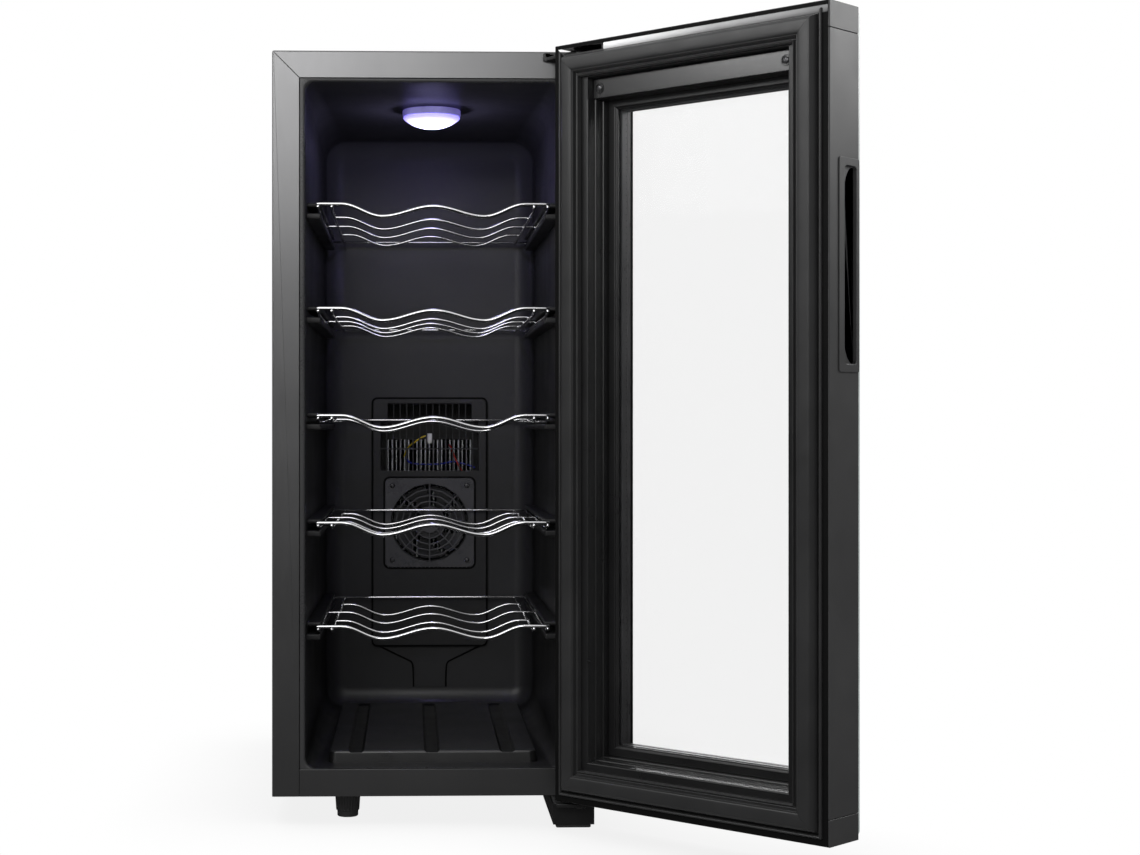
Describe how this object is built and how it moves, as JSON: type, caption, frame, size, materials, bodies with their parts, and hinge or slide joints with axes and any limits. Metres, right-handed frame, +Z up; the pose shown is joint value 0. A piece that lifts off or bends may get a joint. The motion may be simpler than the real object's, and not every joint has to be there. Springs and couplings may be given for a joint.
{
  "type": "wine cooler",
  "caption": "Upright thermoelectric wine cooler with an open glass door, wavy chromed wire shelves, a rear duct cover with fan, and levelling feet.",
  "frame": {"origin": "centre of the bounding box's base, on the floor, with the door open at its rest pose", "axes": "+Z up, +Y towards the back of the cabinet, +X towards the hinge side"},
  "size_m": [0.4488, 0.6776, 0.6435],
  "materials": {
    "painted_steel": "satin black paint",
    "liner_plastic": "satin moulded black",
    "black_plastic": "satin black",
    "insulation": "rigid foam",
    "bare_aluminium": "extruded",
    "steel_hardware": "zinc plated",
    "white_plastic": "satin white",
    "lamp_lens": "frosted",
    "circuit_board": "solder resist",
    "chrome_wire": "polished",
    "front_glass": "clear, black printed border",
    "inner_glass": "clear",
    "door_seal": "matt",
    "yellow_lead": "satin",
    "red_lead": "satin",
    "blue_lead": "satin"
  },
  "bodies": {
    "cabinet": {"outer_shell": "painted_steel", "base_pan": "painted_steel", "inner_liner": "liner_plastic", "foam_insulation": "insulation", "rear_panel": "painted_steel", "rear_fan_guard": "black_plastic", "duct_cover": "liner_plastic", "inner_fan_guard": "black_plastic", "drain_channel": "liner_plastic", "inner_fan_frame": "black_plastic", "cold_sink": "bare_aluminium", "cold_block": "bare_aluminium", "peltier_module": "white_plastic", "hot_sink": "bare_aluminium", "hot_fan_frame": "black_plastic", "power_board": "circuit_board", "power_inlet": "black_plastic", "lamp_base": "white_plastic", "lamp_board": "white_plastic", "lamp_lens": "lamp_lens", "top_hinge_bracket": "painted_steel", "top_hinge_pin": "steel_hardware", "bottom_hinge_bracket": "painted_steel", "bottom_hinge_pin": "steel_hardware", "hinge_foot": "black_plastic", "sensor_lead": "yellow_lead", "sensor_plug": "white_plastic", "fan_lead_red": "red_lead", "fan_lead_blue": "blue_lead", "fan_screw_1": "steel_hardware", "fan_screw_2": "steel_hardware", "fan_screw_3": "steel_hardware", "fan_screw_4": "steel_hardware"},
    "door": {"door_frame": "black_plastic", "door_top_cap": "black_plastic", "door_bottom_cap": "black_plastic", "outer_glass": "front_glass", "inner_glass": "inner_glass", "glass_spacer": "bare_aluminium", "glass_trim": "black_plastic", "door_gasket": "door_seal", "control_cover": "black_plastic", "control_board": "circuit_board", "cover_screw_free_side": "steel_hardware", "cover_screw_hinge_side": "steel_hardware", "handle_insert": "black_plastic", "top_hinge_bush": "white_plastic", "bottom_hinge_bush": "white_plastic"},
    "inner_fan": {"inner_fan_rotor": "black_plastic"},
    "hot_fan": {"hot_fan_rotor": "black_plastic"},
    "shelf_1": {"shelf_1": "chrome_wire"},
    "shelf_2": {"shelf_2": "chrome_wire"},
    "shelf_3": {"shelf_3": "chrome_wire"},
    "shelf_4": {"shelf_4": "chrome_wire"},
    "shelf_5": {"shelf_5": "chrome_wire"},
    "foot_front_left": {"foot_front_left": "black_plastic"},
    "foot_rear_left": {"foot_rear_left": "black_plastic"},
    "foot_rear_right": {"foot_rear_right": "black_plastic"}
  },
  "joints": [
    {"name": "door_hinge", "type": "hinge", "parent": "cabinet", "child": "door", "pos_m": [0.02959, -0.14855, 0.3], "axis": [0, 0, 1], "range_deg": [-135, 5]},
    {"name": "shelf_1_slide", "type": "slide", "parent": "cabinet", "child": "shelf_1", "axis": [0, -1, 0], "range_m": [0, 0.24]},
    {"name": "shelf_2_slide", "type": "slide", "parent": "cabinet", "child": "shelf_2", "axis": [0, -1, 0], "range_m": [0, 0.24]},
    {"name": "shelf_3_slide", "type": "slide", "parent": "cabinet", "child": "shelf_3", "axis": [0, -1, 0], "range_m": [0, 0.24]},
    {"name": "shelf_4_slide", "type": "slide", "parent": "cabinet", "child": "shelf_4", "axis": [0, -1, 0], "range_m": [0, 0.24]},
    {"name": "shelf_5_slide", "type": "slide", "parent": "cabinet", "child": "shelf_5", "axis": [0, -1, 0], "range_m": [0, 0.24]},
    {"name": "inner_fan_spin", "type": "hinge", "parent": "cabinet", "child": "inner_fan", "pos_m": [-0.0904, 0.23095, 0.234], "axis": [0, 1, 0], "continuous": true},
    {"name": "hot_fan_spin", "type": "hinge", "parent": "cabinet", "child": "hot_fan", "pos_m": [-0.0904, 0.31995, 0.25], "axis": [0, 1, 0], "continuous": true},
    {"name": "foot_front_left_screw", "type": "slide", "parent": "cabinet", "child": "foot_front_left", "axis": [0, 0, -1], "range_m": [0, 0.008]},
    {"name": "foot_rear_left_screw", "type": "slide", "parent": "cabinet", "child": "foot_rear_left", "axis": [0, 0, -1], "range_m": [0, 0.008]},
    {"name": "foot_rear_right_screw", "type": "slide", "parent": "cabinet", "child": "foot_rear_right", "axis": [0, 0, -1], "range_m": [0, 0.008]}
  ]
}
